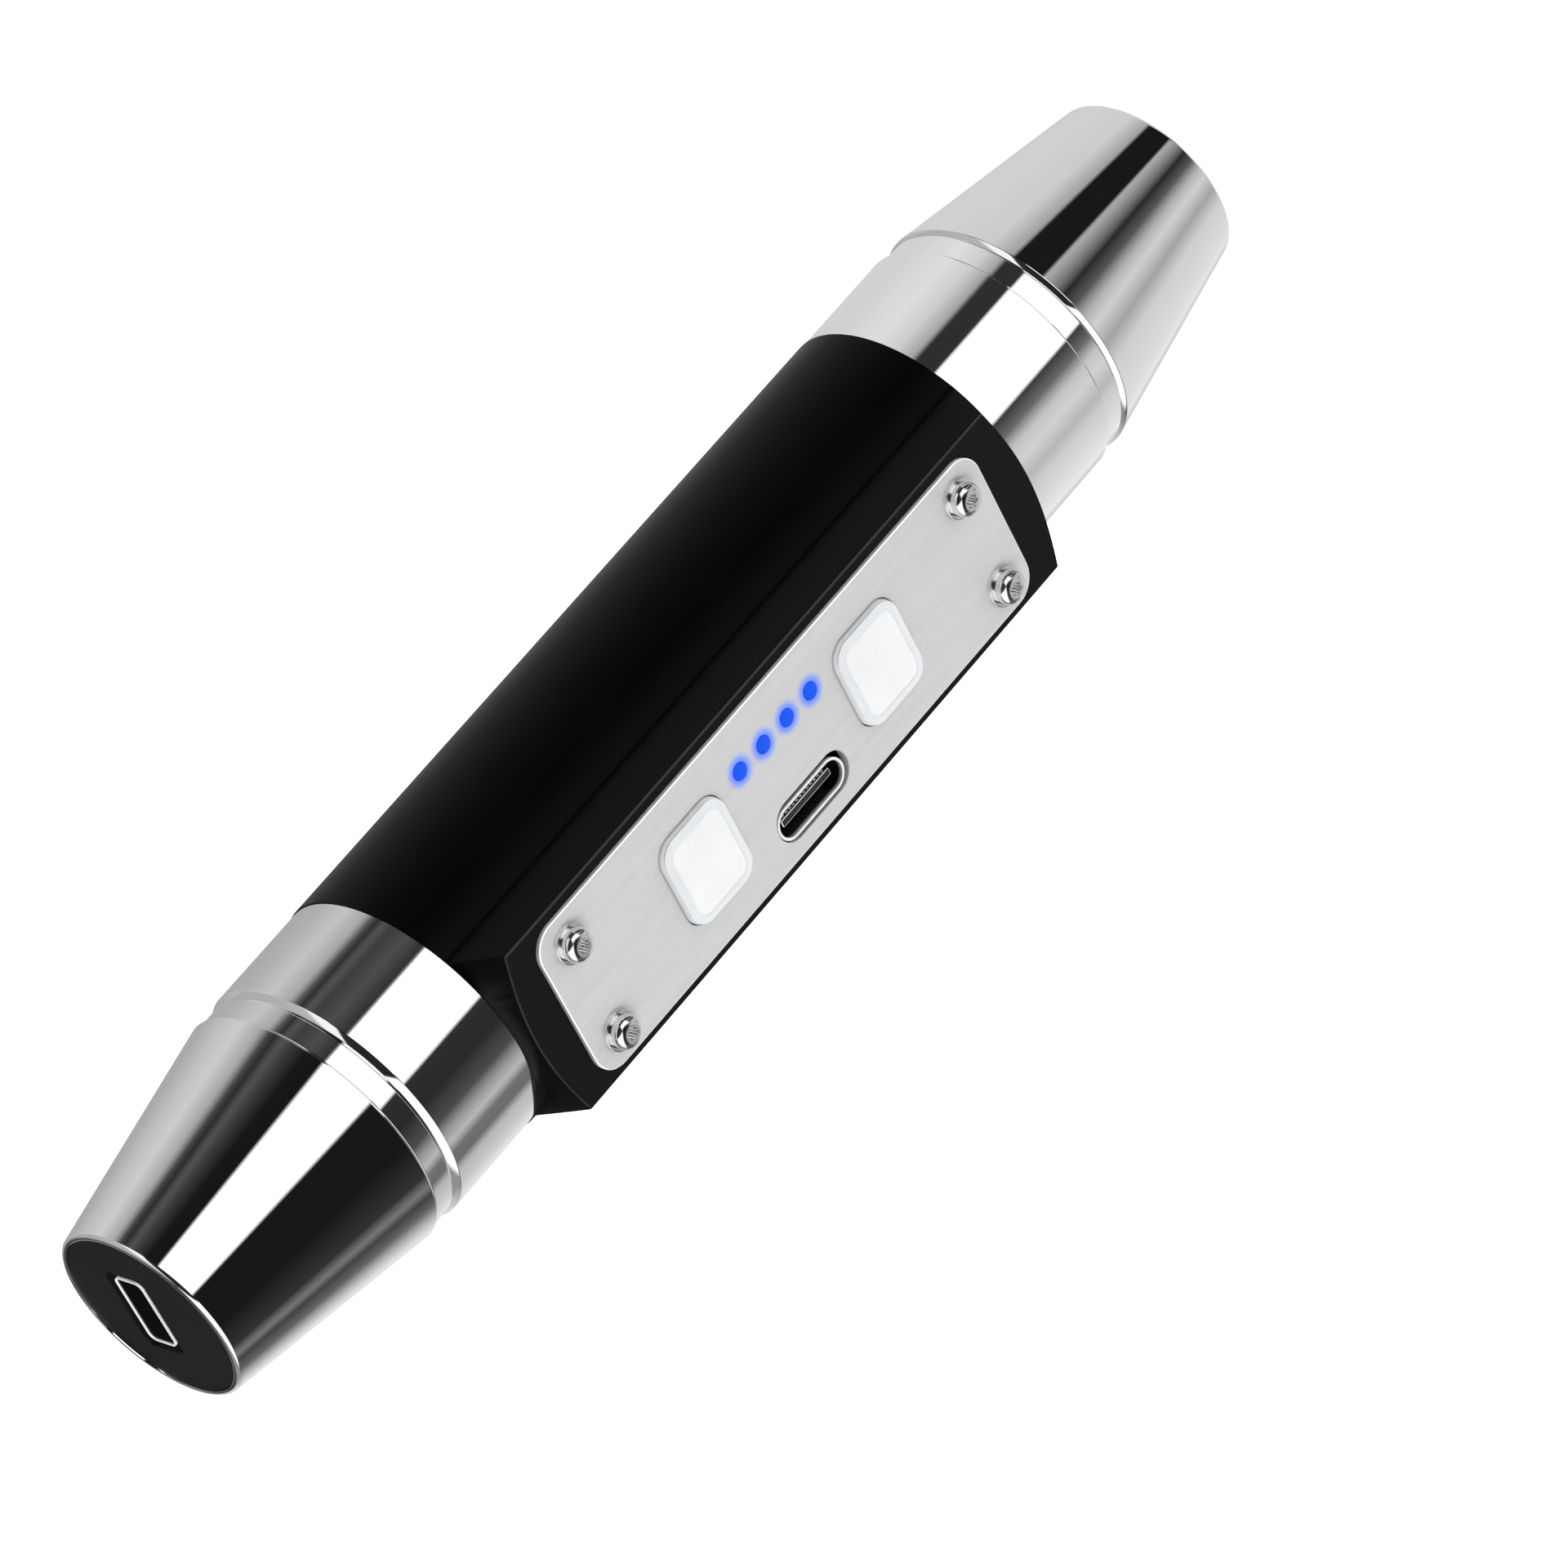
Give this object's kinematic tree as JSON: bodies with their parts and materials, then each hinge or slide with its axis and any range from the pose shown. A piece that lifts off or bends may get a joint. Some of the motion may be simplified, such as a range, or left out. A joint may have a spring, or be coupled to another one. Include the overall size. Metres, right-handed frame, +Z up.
{
  "type": "uv curing lamp",
  "caption": "Slim double-ended UV curing lamp: black body with a raised control plate, push buttons, charge lights and port, and tapered chrome heads that unscrew.",
  "frame": {"origin": "on the lamp's axis, in the plane of the bottom (three-emitter) head's rim", "axes": "+Z up the lamp's axis to the windowed top head; -Y is the side of the control plate; +X to the right when the plate is seen from the front"},
  "size_m": [0.026, 0.0295, 0.1415],
  "materials": {
    "black_anodised": "satin black anodised aluminium",
    "plate_aluminium": "fine satin plate, polished edge",
    "screw_steel": "nickel-plated steel",
    "polished_chrome": "mirror-polished plating",
    "button_white": "soft white silicone-like plastic",
    "switch_black": "moulded",
    "board_green": "solder-masked board",
    "board_white": "white-masked metal-core board",
    "charge_light": "translucent, lit blue",
    "port_steel": "bright drawn steel",
    "port_plastic": "moulded",
    "contact_gold": "gold-plated",
    "cell_steel": "nickel-plated can",
    "cell_wrap": "shrink wrap",
    "seal_rubber": "nitrile rubber",
    "spring_steel": "plated spring wire",
    "disc_black": "satin black",
    "clear_glass": "clear",
    "tray_black": "moulded",
    "emitter_base": "white ceramic",
    "uv_dome": "silicone dome with its chip",
    "heat_sink_aluminium": "turned aluminium",
    "reflector_silver": "vacuum-metallised cups"
  },
  "bodies": {
    "body": {"body_tube": "black_anodised", "control_plate": "plate_aluminium", "plate_screws": "screw_steel", "screw_washers": "screw_steel", "button_switches": "switch_black", "control_board": "board_green", "indicator_leds": "charge_light", "light_guide": "charge_light", "usb_shell": "port_steel", "usb_tongue": "port_plastic", "usb_contacts": "contact_gold", "battery_can": "cell_steel", "battery_cap": "cell_steel", "battery_wrap": "cell_wrap", "top_collar": "polished_chrome", "bottom_collar": "polished_chrome", "top_seal_ring": "seal_rubber", "bottom_seal_ring": "seal_rubber", "top_contact_board": "board_green", "bottom_contact_board": "board_green", "top_cell_spring": "spring_steel", "bottom_cell_spring": "spring_steel"},
    "top_key": {"top_button": "button_white", "top_switch_plunger": "switch_black"},
    "bottom_key": {"bottom_button": "button_white", "bottom_switch_plunger": "switch_black"},
    "top_thread": {"top_module_spring": "spring_steel"},
    "top_light": {"top_head": "polished_chrome", "end_disc": "disc_black", "window_frame": "polished_chrome", "window_glass": "clear_glass", "window_tray": "tray_black", "top_emitters": "emitter_base", "top_domes": "uv_dome", "top_led_board": "board_white", "top_heat_sink": "heat_sink_aluminium", "top_driver_board": "board_green"},
    "bottom_thread": {"bottom_module_spring": "spring_steel"},
    "bottom_light": {"bottom_head": "polished_chrome", "front_glass": "clear_glass", "glass_seal": "seal_rubber", "cup_reflector": "reflector_silver", "bottom_emitters": "emitter_base", "bottom_domes": "uv_dome", "bottom_led_board": "board_white", "bottom_heat_sink": "heat_sink_aluminium", "bottom_driver_board": "board_green"}
  },
  "joints": [
    {"name": "top_button_press", "type": "slide", "parent": "body", "child": "top_key", "axis": [0, 1, 0], "range_m": [0, 0.0005], "stiffness_N_per_m": 1500, "springref_m": -0.0003},
    {"name": "bottom_button_press", "type": "slide", "parent": "body", "child": "bottom_key", "axis": [0, 1, 0], "range_m": [0, 0.0005], "stiffness_N_per_m": 1500, "springref_m": -0.0003},
    {"name": "top_head_lift", "type": "slide", "parent": "body", "child": "top_thread", "axis": [0, 0, 1], "range_m": [0, 0.00401]},
    {"name": "top_head_turn", "type": "hinge", "parent": "top_thread", "child": "top_light", "pos_m": [0, 0, 0.1415], "axis": [0, 0, 1], "range_deg": [0, 1440]},
    {"name": "bottom_head_lift", "type": "slide", "parent": "body", "child": "bottom_thread", "axis": [0, 0, -1], "range_m": [0, 0.00401]},
    {"name": "bottom_head_turn", "type": "hinge", "parent": "bottom_thread", "child": "bottom_light", "pos_m": [0, 0, 0], "axis": [0, 0, -1], "range_deg": [0, 1440]}
  ],
  "couplings": [
    {"joint": "top_head_lift", "follows": "top_head_turn", "m_per_rad": 0.00015915},
    {"joint": "bottom_head_lift", "follows": "bottom_head_turn", "m_per_rad": 0.00015915}
  ]
}
